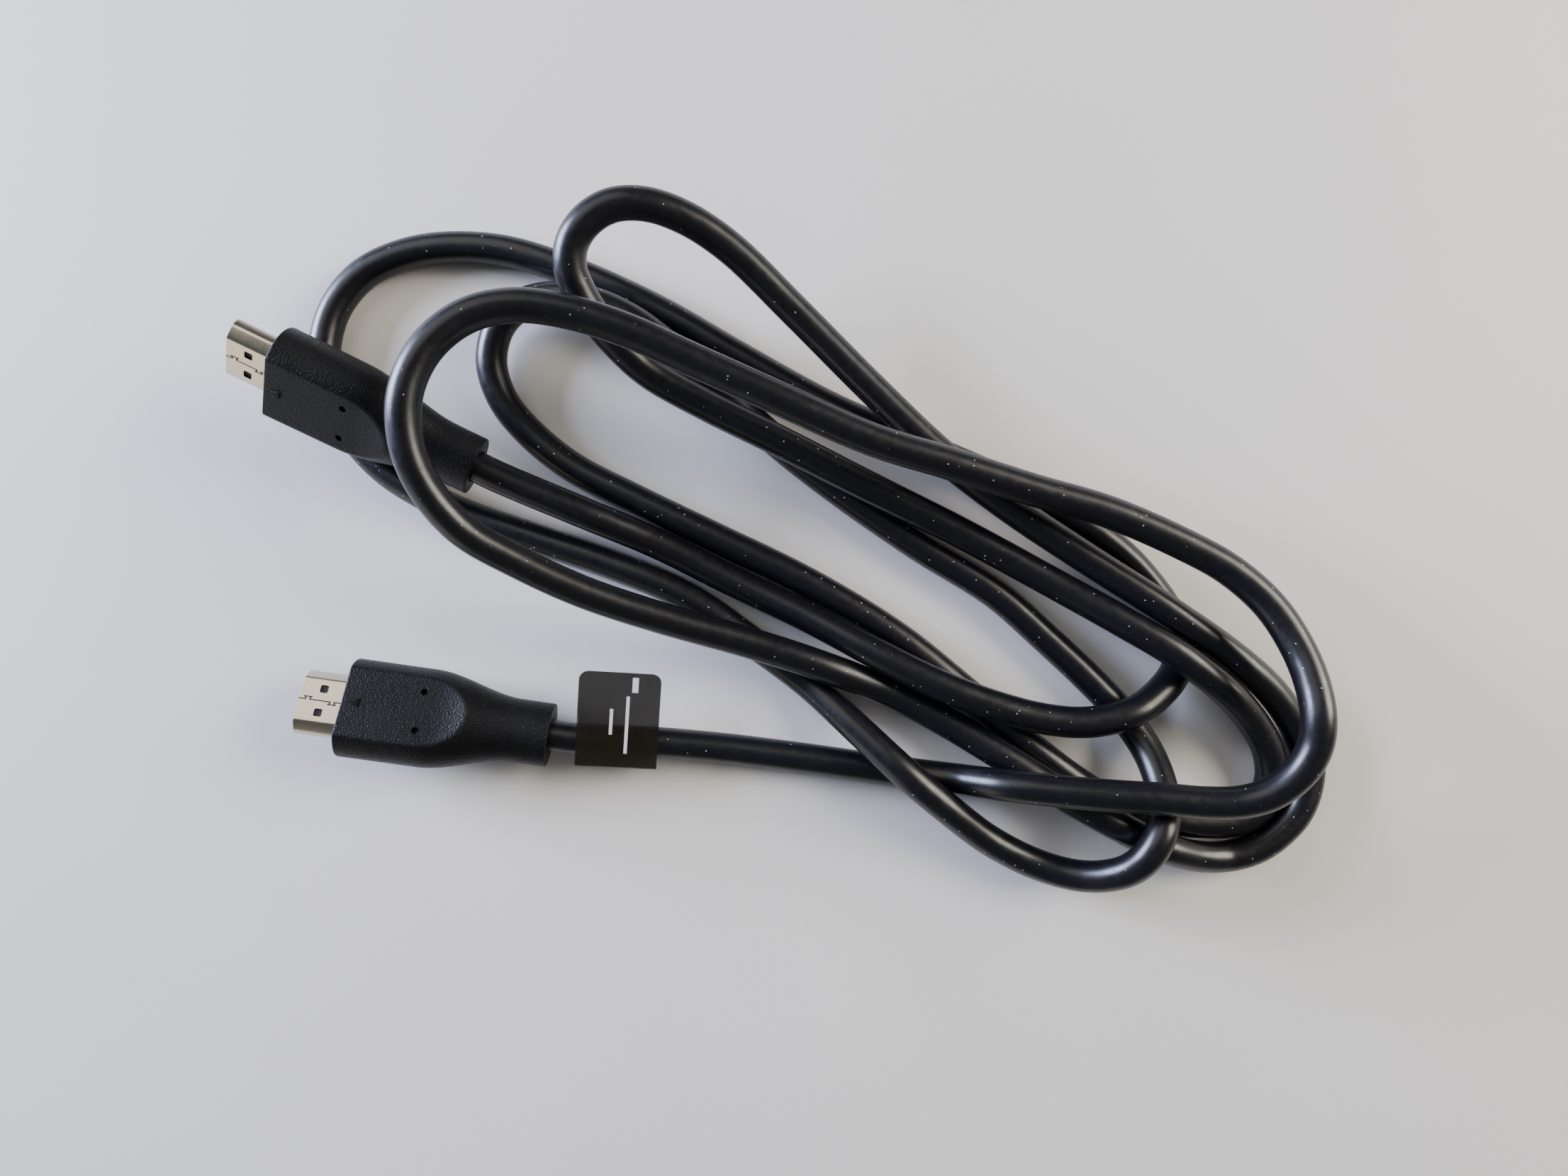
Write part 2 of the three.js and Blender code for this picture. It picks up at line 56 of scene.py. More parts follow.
# Cord. A round jacket of soft PVC, extruded over a braid and nineteen wires, so it bends in wide
# curves and lies in nine long loops. It runs into both plugs, whose grips are moulded over it.
CORD_RADIUS = 0.0034
CORD_SIDES = 32
RINGS_PER_POINT = 6
STRAIGHT_EXIT = 0.0052
MOULDED_IN = 0.0015
PLUGS = {  # the middle of each plug's rear face, and its turn in degrees
    "plug_a": {"rear": (-0.0510, -0.0322, 0.0069), "turn": (-21, 3, -8.5)},
    "plug_b": {"rear": (-0.0653, 0.0258, 0.0134), "turn": (45, 8, -25.8)},
}
ROUTE = [
    # out along the front, under the last loop and up over the strands behind it
    (-0.027, -0.0342, 0.0046), (-0.01, -0.036, 0.0034), (0.01, -0.0386, 0.0034),
    (0.027, -0.041, 0.0034), (0.0385, -0.0419, 0.0068), (0.0477, -0.042, 0.0138),
    (0.0575, -0.0426, 0.0164), (0.0674, -0.0432, 0.018), (0.0785, -0.0437, 0.0192),
    # large loop on the right
    (0.0871, -0.0443, 0.02), (0.0941, -0.0439, 0.021), (0.0994, -0.0418, 0.0225),
    (0.1041, -0.0375, 0.024), (0.1068, -0.0321, 0.025), (0.1073, -0.0262, 0.0255),
    (0.107, -0.0191, 0.0235), (0.1051, -0.0117, 0.021), (0.1006, -0.0036, 0.019),
    (0.0928, 0.0037, 0.018), (0.0824, 0.0095, 0.0178),
    # back along the top of the coil
    (0.0673, 0.0159, 0.0182), (0.0511, 0.0204, 0.0195), (0.034, 0.0255, 0.0215),
    (0.0182, 0.03, 0.0235), (0, 0.0375, 0.026), (-0.0178, 0.0451, 0.028), (-0.0309, 0.0506, 0.03),
    (-0.042, 0.0538, 0.0315),
    # large loop on the left, over plug B
    (-0.0522, 0.0547, 0.033), (-0.0604, 0.0525, 0.0345), (-0.0664, 0.048, 0.0355),
    (-0.0702, 0.0426, 0.036), (-0.0724, 0.036, 0.036), (-0.0726, 0.0293, 0.035),
    (-0.0713, 0.0232, 0.0335), (-0.0683, 0.017, 0.031), (-0.0633, 0.0111, 0.028),
    (-0.0545, 0.0056, 0.024),
    # down to the outer arc at the lower right
    (-0.0418, -0.0007, 0.0195), (-0.0266, -0.0061, 0.015), (-0.0077, -0.0117, 0.0109),
    (0.0078, -0.0168, 0.0092), (0.0218, -0.0224, 0.0058), (0.0357, -0.0295, 0.0058),
    (0.0471, -0.0363, 0.0076), (0.0586, -0.0436, 0.009), (0.0712, -0.0508, 0.0098),
    (0.0825, -0.0564, 0.0084), (0.0915, -0.0592, 0.0052), (0.0985, -0.0596, 0.0034),
    (0.1049, -0.0578, 0.0034), (0.11, -0.0543, 0.0034), (0.114, -0.0497, 0.0034),
    (0.1163, -0.0435, 0.0034), (0.1164, -0.0375, 0.0036), (0.1131, -0.0308, 0.005),
    (0.1067, -0.0226, 0.007), (0.0976, -0.015, 0.009), (0.0834, -0.0054, 0.0106),
    # up to the small loop at the top
    (0.068, 0.0047, 0.0098), (0.0485, 0.0176, 0.01), (0.0339, 0.0287, 0.0108),
    (0.0192, 0.0423, 0.012), (0.0019, 0.0587, 0.0155), (-0.0111, 0.0701, 0.02),
    (-0.02, 0.075, 0.0235), (-0.0279, 0.0769, 0.026), (-0.0345, 0.0762, 0.027),
    (-0.0394, 0.0732, 0.027), (-0.0425, 0.0689, 0.026), (-0.0431, 0.0644, 0.0245),
    (-0.0418, 0.0607, 0.0225), (-0.0394, 0.0565, 0.02), (-0.0362, 0.0525, 0.0175),
    (-0.0291, 0.046, 0.014), (-0.0175, 0.0396, 0.0118), (0, 0.0311, 0.0109),
    (0.0175, 0.0223, 0.0097),
    # to the inner arc at the lower right
    (0.0393, 0.0117, 0.0075), (0.0588, 0.001, 0.008), (0.0728, -0.0072, 0.0108),
    (0.0847, -0.0145, 0.0123), (0.095, -0.0221, 0.0108), (0.1028, -0.0295, 0.007),
    (0.107, -0.0362, 0.005), (0.1082, -0.0423, 0.0036), (0.1062, -0.048, 0.0034),
    (0.1013, -0.0515, 0.0034), (0.0945, -0.0522, 0.0034), (0.0855, -0.0514, 0.0034),
    (0.077, -0.0494, 0.0034),
    # along the floor to the small loop on the left
    (0.0675, -0.0446, 0.0034), (0.055, -0.0354, 0.0034), (0.04, -0.0227, 0.0034),
    (0.025, -0.0107, 0.0034), (0.005, 0.0014, 0.0034), (-0.015, 0.0111, 0.0034),
    (-0.033, 0.0197, 0.0034), (-0.047, 0.0269, 0.0034), (-0.057, 0.035, 0.0036),
    (-0.0626, 0.0423, 0.004), (-0.0646, 0.0501, 0.005), (-0.0625, 0.0576, 0.006),
    (-0.0576, 0.0619, 0.007), (-0.05, 0.0634, 0.008), (-0.042, 0.0622, 0.0088),
    (-0.0338, 0.0586, 0.009), (-0.0274, 0.0543, 0.0085), (-0.0178, 0.0468, 0.0055),
    # to the loop at the lower middle
    (-0.008, 0.0382, 0.0034), (0, 0.0311, 0.0034), (0.012, 0.0218, 0.0034), (0.03, 0.0093, 0.0034),
    (0.047, -0.0013, 0.0034), (0.058, -0.011, 0.0034), (0.068, -0.0204, 0.0034),
    (0.0753, -0.0283, 0.0036), (0.0797, -0.0354, 0.006), (0.0813, -0.0418, 0.0097),
    (0.081, -0.0469, 0.013), (0.0792, -0.0515, 0.016), (0.0766, -0.056, 0.0162),
    (0.0734, -0.0597, 0.014), (0.0691, -0.0619, 0.011), (0.0637, -0.0626, 0.008),
    (0.0558, -0.0608, 0.0062), (0.0454, -0.0555, 0.0068), (0.0349, -0.0473, 0.0102),
    # over the first stretch and along the floor, under plug B
    (0.026, -0.0397, 0.0114), (0.0157, -0.0304, 0.008), (0.005, -0.0209, 0.0034),
    (-0.007, -0.012, 0.0034), (-0.022, -0.0017, 0.0034), (-0.038, 0.0051, 0.0034),
    (-0.055, 0.0109, 0.0034), (-0.07, 0.0161, 0.0034), (-0.08, 0.0207, 0.0034),
    (-0.088, 0.0258, 0.0034), (-0.094, 0.0318, 0.0034), (-0.099, 0.0395, 0.0034),
    (-0.102, 0.048, 0.0034), (-0.1018, 0.056, 0.0034), (-0.0992, 0.0632, 0.0034),
    (-0.0935, 0.0698, 0.0034), (-0.0855, 0.0738, 0.0034), (-0.076, 0.0757, 0.0034),
    (-0.062, 0.075, 0.0034), (-0.046, 0.0699, 0.0034),
    # along the back to the loop in the middle right
    (-0.028, 0.0617, 0.0034), (-0.01, 0.0514, 0.0034), (0.01, 0.0404, 0.0034),
    (0.03, 0.0318, 0.0034), (0.05, 0.023, 0.0034), (0.066, 0.0144, 0.0034),
    (0.075, 0.0076, 0.0034), (0.0815, 0.0004, 0.0034), (0.086, -0.0065, 0.0034),
    (0.0882, -0.013, 0.0036), (0.0866, -0.0181, 0.005), (0.0817, -0.023, 0.008),
    (0.0751, -0.0268, 0.0106), (0.0659, -0.0289, 0.0106), (0.0562, -0.0282, 0.0106),
    (0.0445, -0.0251, 0.0108), (0.0329, -0.0206, 0.0106),
    # and up to plug B
    (0.0195, -0.0139, 0.009), (0.0049, -0.0062, 0.006), (-0.0119, 0.0018, 0.0045),
    (-0.0277, 0.0097, 0.0055), (-0.0437, 0.0164, 0.01),
]


def plug_matrix(name):
    """From a plug's own frame, x back along it from its rear face, to the scene's."""
    turn = Euler([math.radians(angle) for angle in PLUGS[name]["turn"]], "XYZ")
    return Matrix.Translation(Vector(PLUGS[name]["rear"]) - MIDDLE) @ turn.to_matrix().to_4x4()


def smooth_line(points, steps):
    """Points along a centripetal Catmull-Rom curve, which passes through the given ones."""
    padded = [2 * points[0] - points[1], *points, 2 * points[-1] - points[-2]]
    line = []
    for four in zip(padded, padded[1:], padded[2:], padded[3:]):
        knots = [0]
        for one, two in zip(four, four[1:]):
            knots.append(knots[-1] + math.sqrt((two - one).length))
        for step in range(steps):
            t = knots[1] + (knots[2] - knots[1]) * step / steps
            row = four
            for first, reach in ((0, 1), (0, 2), (1, 1)):
                spans = [(knots[first + i], knots[first + i + reach]) for i in range(len(row) - 1)]
                row = [
                    (a * (high - t) + b * (t - low)) / (high - low)
                    for a, b, (low, high) in zip(row, row[1:], spans)
                ]
            line.append(row[0])
    return line + [points[-1]]


def new_piece(name, mesh, body="root"):
    """An object of this mesh, smooth and riding on a body."""
    mesh.update()
    for polygon in mesh.polygons:
        polygon.use_smooth = True
    made = bpy.data.objects.new(name, mesh)
    bpy.context.scene.collection.objects.link(made)
    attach(made, body)
    return made


def rings_to_mesh(name, rings, closed_ends=True):
    """A skin over a row of rings that all have the same number of points."""
    count = len(rings[0])
    points = [point for ring in rings for point in ring]
    faces = []
    for i in range(len(rings) - 1):
        for j in range(count):
            k = (j + 1) % count
            after = (i + 1) * count
            faces.append((i * count + j, i * count + k, after + k, after + j))
    if closed_ends:
        faces.append(tuple(reversed(range(count))))
        faces.append(tuple(range(len(points) - count, len(points))))
    mesh = bpy.data.meshes.new(name)
    mesh.from_pydata(points, [], faces)
    return mesh


route = [plug_matrix("plug_a") @ Vector((far, 0, 0)) for far in (-MOULDED_IN, STRAIGHT_EXIT)]
route += [Vector(point) - MIDDLE for point in ROUTE]
route += [plug_matrix("plug_b") @ Vector((far, 0, 0)) for far in (STRAIGHT_EXIT, -MOULDED_IN)]
centre_line = smooth_line(route, RINGS_PER_POINT)
for point in centre_line:
    point.z = max(point.z, CORD_RADIUS)  # it lies on the table and doesn't sink in

cord_rings = []
sideways = Vector((0, 1, 0))
for i, point in enumerate(centre_line):
    along = centre_line[min(i + 1, len(centre_line) - 1)] - centre_line[max(i - 1, 0)]
    along.normalize()
    sideways = (sideways - along * sideways.dot(along)).normalized()
    upward = along.cross(sideways)
    ring = []
    for j in range(CORD_SIDES):
        angle = 2 * math.pi * j / CORD_SIDES
        ring.append(point + CORD_RADIUS * (math.cos(angle) * sideways + math.sin(angle) * upward))
    cord_rings.append(ring)
cord = new_piece("cord_jacket", rings_to_mesh("cord_jacket", cord_rings))


def linear(code):
    """An sRGB colour such as #1c1c20 as the linear numbers of a shader."""
    parts = [int(code[i:i + 2], 16) / 255 for i in (1, 3, 5)]
    return [p / 12.92 if p <= 0.04045 else ((p + 0.055) / 1.055) ** 2.4 for p in parts] + [1]


def add_node(tree, kind, inputs, **settings):
    """A shader node with its settings, and its inputs set to values or linked to sockets."""
    made = tree.nodes.new(kind)
    for key, value in settings.items():
        setattr(made, key, value)
    for key, value in inputs.items():
        if isinstance(value, bpy.types.NodeSocket):
            tree.links.new(value, made.inputs[key])
        else:
            made.inputs[key].default_value = value
    return made


def new_material(name):
    """An empty material's tree, its place coordinates in metres and its finished shader."""
    material = bpy.data.materials.new(name)
    material.use_nodes = True
    tree = material.node_tree
    tree.nodes.clear()
    shader = tree.nodes.new("ShaderNodeBsdfPrincipled")
    output = tree.nodes.new("ShaderNodeOutputMaterial")
    tree.links.new(shader.outputs["BSDF"], output.inputs["Surface"])
    place = tree.nodes.new("ShaderNodeTexCoord").outputs["Object"]
    return material, tree, shader, place


# Extruded PVC: satin and almost black, with a faint unevenness of the braid under it, a fine
# bloom, and the pale dust and lint that such a soft plastic draws to its upper side.
jacket_pvc, tree, shader, place = new_material("extruded_pvc")
shader.inputs["IOR"].default_value = 1.53
unevenness = add_node(tree, "ShaderNodeTexNoise", {
    "Vector": place, "Scale": 1 / 0.006, "Detail": 1,
})
bloom = add_node(tree, "ShaderNodeTexNoise", {"Vector": place, "Scale": 1 / 0.0016, "Detail": 3})
# A speck of dust is about 0.3 mm across, in the middle of three cells of 1.6 mm out of ten.
specks = add_node(tree, "ShaderNodeTexVoronoi", {"Vector": place, "Scale": 1 / 0.0016})
speck = add_node(tree, "ShaderNodeMapRange", {
    "Value": specks.outputs["Distance"],
    "From Min": 0.07, "From Max": 0.11, "To Min": 1, "To Max": 0,
})
sparse = add_node(tree, "ShaderNodeTexWhiteNoise", {"Vector": specks.outputs["Position"]})
kept = add_node(tree, "ShaderNodeMath", {
    0: sparse.outputs["Value"], 1: 0.7,
}, operation="GREATER_THAN")
normal = add_node(tree, "ShaderNodeSeparateXYZ", {
    "Vector": add_node(tree, "ShaderNodeNewGeometry", {}).outputs["Normal"],
})
upper = add_node(tree, "ShaderNodeMapRange", {
    "Value": normal.outputs["Z"], "From Min": 0.1, "From Max": 0.6,
})
dust = add_node(tree, "ShaderNodeMath", {
    0: speck.outputs["Result"], 1: kept.outputs[0],
}, operation="MULTIPLY")
dust = add_node(tree, "ShaderNodeMath", {
    0: dust.outputs[0], 1: upper.outputs["Result"],
}, operation="MULTIPLY")
dust = add_node(tree, "ShaderNodeMath", {0: dust.outputs[0], 1: 0.75}, operation="MULTIPLY")
colour = add_node(tree, "ShaderNodeMix", {
    0: dust.outputs[0], 6: linear("#0a0a10"), 7: linear("#c2c0c4"),
}, data_type="RGBA")
rough = add_node(tree, "ShaderNodeMapRange", {
    "Value": bloom.outputs["Fac"], "From Min": 0.3, "From Max": 0.7, "To Min": 0.3, "To Max": 0.38,
})
wave = add_node(tree, "ShaderNodeBump", {
    "Height": unevenness.outputs["Fac"], "Distance": 0.00008, "Strength": 1,
})
grain = add_node(tree, "ShaderNodeBump", {
    "Height": bloom.outputs["Fac"], "Distance": 0.00001, "Strength": 1,
    "Normal": wave.outputs["Normal"],
})
tree.links.new(colour.outputs[2], shader.inputs["Base Color"])
tree.links.new(rough.outputs["Result"], shader.inputs["Roughness"])
tree.links.new(grain.outputs["Normal"], shader.inputs["Normal"])
cord.data.materials.append(jacket_pvc)
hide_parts("cable_jacket")


# Grips. Each is moulded over the cord's end and the connector's back: an oval bar that narrows to
# the cord, with a flat cut into both faces that ends in a thumb scoop. The tool was spark-eroded,
# so the plastic has an even fine grain.
BODY_LENGTH = 0.0438
BODY_WIDTH = 0.0216
BODY_THICKNESS = 0.0116
BAR_THICKNESS = 0.0162
COLLAR_WIDTH = 0.0139
COLLAR_THICKNESS = 0.011
WAIST = (0.017, 0.0365)
THINNING = (0.015, 0.038)
SCOOP_START = 0.019
SCOOP_RADIUS = 0.027
CREASE = 0.0003  # how softly the flat meets the bar's round side
EDGE = 0.0003  # rounding of the front and rear rims
GRIP_SIDES = 160
GRIP_RINGS = 150
POCKET_DEPTH = 0.0042
POCKET_AIR = 0.0002
RECESS_GAP = 0.0002
RECESS_DEPTH = 0.0005
DIMPLE_RADIUS = 0.00073
DIMPLE_DEPTH = 0.0013
DIMPLE_PLACE = 0.0165
DIMPLE_SPACING = 0.0084
MARK_PLACE = 0.0026
MARK_SIDE = 0.0019
MARK_TOP_SIDE = 0.86 * MARK_SIDE
MARK_RISE = 0.0003
MARK_CHAMFER = 0.00005
MARK_CORNERS = [(-1, 0), (1, -1), (1, 1)]  # an arrow that points at the socket
SHARP_ANGLE = math.radians(40)
SHELL_WIDTH = 0.0139
SHELL_HEIGHT = 0.00445
SHELL_TOP_WIDTH = 0.0097
SHELL_SIDE_HEIGHT = 0.0024


def smoothstep(low, high, x):
    """From 0 at low to 1 at high, with no corner at either end."""
    t = min(max((x - low) / (high - low), 0), 1)
    return t * t * (3 - 2 * t)


def grip_ring(x, inset=0):
    """The grip's outline at x from its front, drawn in by an inset."""
    waist = smoothstep(*WAIST, x)
    thinning = smoothstep(*THINNING, x)
    half_width = (BODY_WIDTH + (COLLAR_WIDTH - BODY_WIDTH) * waist) / 2 - inset
    half_bar = (BAR_THICKNESS + (COLLAR_THICKNESS - BAR_THICKNESS) * thinning) / 2 - inset
    along = max(x - SCOOP_START, 0)
    flat = BODY_THICKNESS / 2 - inset + SCOOP_RADIUS - math.sqrt(SCOOP_RADIUS ** 2 - along ** 2)
    ring = []
    for j in range(GRIP_SIDES):
        angle = 2 * math.pi * j / GRIP_SIDES
        z = half_bar * math.sin(angle)
        overlap = max(CREASE - abs(abs(z) - flat), 0)
        lowered = min(abs(z), flat) - overlap * overlap / (4 * CREASE)
        ring.append(Vector((x, half_width * math.cos(angle), math.copysign(lowered, z))))
    return ring


def d_section(inset):
    """Corners of the connector's D, its narrow side up, drawn in by an inset."""
    side = SHELL_WIDTH / 2 - inset
    top = SHELL_TOP_WIDTH / 2 - inset / 2
    high = SHELL_HEIGHT / 2 - inset
    shoulder = SHELL_SIDE_HEIGHT - SHELL_HEIGHT / 2 - inset / 4
    upper_side = [(side, shoulder), (top, high), (-top, high), (-side, shoulder)]
    return [Vector(corner) for corner in upper_side + [(-side, -high), (side, -high)]]


def pocket_ring(x):
    """The D-shaped mouth for the shell, with one point for each of the grip's own angles."""
    corners = d_section(-POCKET_AIR)
    ring = []
    for j in range(GRIP_SIDES):
        angle = 2 * math.pi * (j + 0.5) / GRIP_SIDES
        way = Vector((math.cos(angle), math.sin(angle)))
        for one, two in zip(corners, corners[1:] + corners[:1]):
            edge = two - one
            cross = way.cross(edge)
            share = one.cross(way) / cross if abs(cross) > 1e-12 else -1
            if 0 <= share <= 1 and one.cross(edge) / cross > 0:
                ring.append(Vector((x, *(way * (one.cross(edge) / cross)))))
                break
    return ring


def circle_ring(x, radius):
    """A round ring, with as many points as the grip's outline."""
    angles = [2 * math.pi * j / GRIP_SIDES for j in range(GRIP_SIDES)]
    return [Vector((x, radius * math.cos(angle), radius * math.sin(angle))) for angle in angles]


def cut_with(target, cutter):
    """Cuts one mesh object out of another, and keeps only the result."""
    modifier = target.modifiers.new("cut", "BOOLEAN")
    modifier.object = cutter
    modifier.solver = "EXACT"
    evaluated = target.evaluated_get(bpy.context.evaluated_depsgraph_get())
    mesh = bpy.data.meshes.new_from_object(evaluated)
    target.modifiers.clear()
    target.data = mesh
    bpy.data.objects.remove(cutter)


grip_rings = [pocket_ring(POCKET_DEPTH), pocket_ring(0)]
quarter = [math.pi / 2 * step / 4 for step in range(5)]
rim = [(EDGE * (1 - math.cos(angle)), EDGE * (1 - math.sin(angle))) for angle in quarter]
grip_rings += [grip_ring(in_from_end, inset) for in_from_end, inset in rim]
for step in range(1, GRIP_RINGS):
    grip_rings.append(grip_ring(EDGE + (BODY_LENGTH - 2 * EDGE) * step / GRIP_RINGS))
grip_rings += [grip_ring(BODY_LENGTH - in_from_end, inset) for in_from_end, inset in reversed(rim)]
grip_rings += [
    circle_ring(BODY_LENGTH, CORD_RADIUS + RECESS_GAP),
    circle_ring(BODY_LENGTH - RECESS_DEPTH, CORD_RADIUS + RECESS_GAP),
]

# PVC moulded in a spark-eroded tool: matt, with a fine even grain that glitters a little where
# the light grazes it. The real grain is some 0.1 mm across, and is drawn at 0.4 mm so it shows.
grained_pvc, tree, shader, place = new_material("spark_grained_pvc")
shader.inputs["Specular IOR Level"].default_value = 0.2
shader.inputs["IOR"].default_value = 1.5
grains = add_node(tree, "ShaderNodeTexNoise", {
    "Vector": place, "Scale": 1 / 0.0004, "Detail": 2, "Roughness": 0.6,
})
pits = add_node(tree, "ShaderNodeTexVoronoi", {"Vector": place, "Scale": 1 / 0.0004})
wear = add_node(tree, "ShaderNodeTexNoise", {"Vector": place, "Scale": 1 / 0.007, "Detail": 3})
shade = add_node(tree, "ShaderNodeMapRange", {
    "Value": wear.outputs["Fac"], "From Min": 0.3, "From Max": 0.7,
})
colour = add_node(tree, "ShaderNodeMix", {
    0: shade.outputs["Result"], 6: linear("#08080a"), 7: linear("#101012"),
}, data_type="RGBA")
rough = add_node(tree, "ShaderNodeMapRange", {
    "Value": grains.outputs["Fac"],
    "From Min": 0.3, "From Max": 0.7, "To Min": 0.32, "To Max": 0.52,
})
pit = add_node(tree, "ShaderNodeBump", {
    "Height": pits.outputs["Distance"], "Distance": 0.00006, "Strength": 1,
})
grain = add_node(tree, "ShaderNodeBump", {
    "Height": grains.outputs["Fac"], "Distance": 0.00012, "Strength": 1,
    "Normal": pit.outputs["Normal"],
})
tree.links.new(colour.outputs[2], shader.inputs["Base Color"])
tree.links.new(rough.outputs["Result"], shader.inputs["Roughness"])
tree.links.new(grain.outputs["Normal"], shader.inputs["Normal"])

to_front = Matrix.Translation((-BODY_LENGTH, 0, 0))
for plug in PLUGS:
    grip = new_piece(f"{plug}_grip", rings_to_mesh(f"{plug}_grip", grip_rings))
    for side in (-1, 1):
        pin = bpy.data.meshes.new("pin")
        pin_middle = (DIMPLE_PLACE, side * DIMPLE_SPACING / 2, BODY_THICKNESS / 2)
        shape = bmesh.new()
        bmesh.ops.create_cone(
            shape, cap_ends=True, segments=32,
            radius1=DIMPLE_RADIUS, radius2=DIMPLE_RADIUS, depth=2 * DIMPLE_DEPTH,
            matrix=Matrix.Translation(pin_middle),
        )
        shape.to_mesh(pin)
        shape.free()
        cut_with(grip, new_piece("pin", pin))
    shape = bmesh.new()
    shape.from_mesh(grip.data)
    foot, top = BODY_THICKNESS / 2 - MARK_RISE, BODY_THICKNESS / 2 + MARK_RISE
    mark = []
    for z, size in ((foot, MARK_SIDE), (top - MARK_CHAMFER, MARK_SIDE), (top, MARK_TOP_SIDE)):
        outline = [(MARK_PLACE + x * size / 2, y * size / 2, z) for x, y in MARK_CORNERS]
        mark.append([shape.verts.new(corner) for corner in outline])
    shape.faces.new(reversed(mark[0]))
    shape.faces.new(mark[-1])
    for under, over in zip(mark, mark[1:]):
        for j in range(3):
            shape.faces.new((under[j], under[(j + 1) % 3], over[(j + 1) % 3], over[j]))
    shape.to_mesh(grip.data)
    shape.free()
    grip.data.transform(plug_matrix(plug) @ to_front)
    grip.data.set_sharp_from_angle(angle=SHARP_ANGLE)
    grip.data.materials.clear()
    grip.data.materials.append(grained_pvc)
    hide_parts(f"{plug}_overmold")


# Connector shells. Steel strip, nickel plated, stamped and folded to a D and locked along its
# narrow side by a jigsaw seam. Two square holes on each broad side take the socket's springs.
SHEET = 0.0003
SHELL_OUT = 0.010
SHELL_IN = 0.0042
SHELL_CORNER = 0.0006
LATCH_HOLE = 0.0017
LATCH_CORNER = 0.0004
LATCH_SPACING = 0.0052
LATCH_PLACE = 0.0053
SEAM_WIDTH = 0.00026
SEAM_LIFT = 0.000012
SEAM_STEPS = [  # in millimetres: along from the grip's front face, and across
    (-9.9, 0), (-8.6, 0), (-8.6, 0.25), (-8.9, 0.6), (-7.4, 0.6), (-7.7, 0.25), (-7.7, 0),
    (-3.4, 0), (-3.4, -0.25), (-3.7, -0.6), (-2.2, -0.6), (-2.5, -0.25), (-2.5, 0), (-0.1, 0),
]


def rounded(corners, radius, steps=4):
    """A polygon's points with its corners rounded."""
    points = []
    befores, afters = corners[-1:] + corners[:-1], corners[1:] + corners[:1]
    for before, corner, after in zip(befores, corners, afters):
        start = corner + (before - corner).normalized() * radius
        end = corner + (after - corner).normalized() * radius
        for step in range(steps + 1):
            t = step / steps
            points.append((1 - t) ** 2 * start + 2 * t * (1 - t) * corner + t * t * end)
    return points


def shell_ring(x, inset):
    """The shell's D with its bent corners, at x from the grip's front face."""
    return [Vector((x, *point)) for point in rounded(d_section(inset), SHELL_CORNER - inset / 2)]


# Nickel over drawn steel strip: a warm bright metal, a little clouded by handling, with fine
# scuffs that blur what it mirrors.
nickel, tree, shader, place = new_material("nickel_plated_steel")
shader.inputs["Metallic"].default_value = 1
brush = add_node(tree, "ShaderNodeTexNoise", {"Vector": place, "Scale": 1 / 0.0009, "Detail": 4})
stain = add_node(tree, "ShaderNodeTexNoise", {"Vector": place, "Scale": 1 / 0.004, "Detail": 2})
colour = add_node(tree, "ShaderNodeMix", {
    0: stain.outputs["Fac"], 6: linear("#cdc3b4"), 7: linear("#d6ccbd"),
}, data_type="RGBA")
rough = add_node(tree, "ShaderNodeMapRange", {
    "Value": brush.outputs["Fac"], "To Min": 0.14, "To Max": 0.26,
})
scuff = add_node(tree, "ShaderNodeBump", {
    "Height": brush.outputs["Fac"], "Distance": 0.000003, "Strength": 1,
})
tree.links.new(colour.outputs[2], shader.inputs["Base Color"])
tree.links.new(rough.outputs["Result"], shader.inputs["Roughness"])
tree.links.new(scuff.outputs["Normal"], shader.inputs["Normal"])

# The open seam, a gap as deep as the sheet is thick, is not cut: a flat dark strip on the shell
# carries its painted shade.
seam_shadow, tree, shader, place = new_material("seam_painted_shade")
shader.inputs["Roughness"].default_value = 0.7
depth = add_node(tree, "ShaderNodeTexNoise", {"Vector": place, "Scale": 1 / 0.0008})
colour = add_node(tree, "ShaderNodeMix", {
    0: depth.outputs["Fac"], 6: linear("#15120f"), 7: linear("#2a2520"),
}, data_type="RGBA")
tree.links.new(colour.outputs[2], shader.inputs["Base Color"])

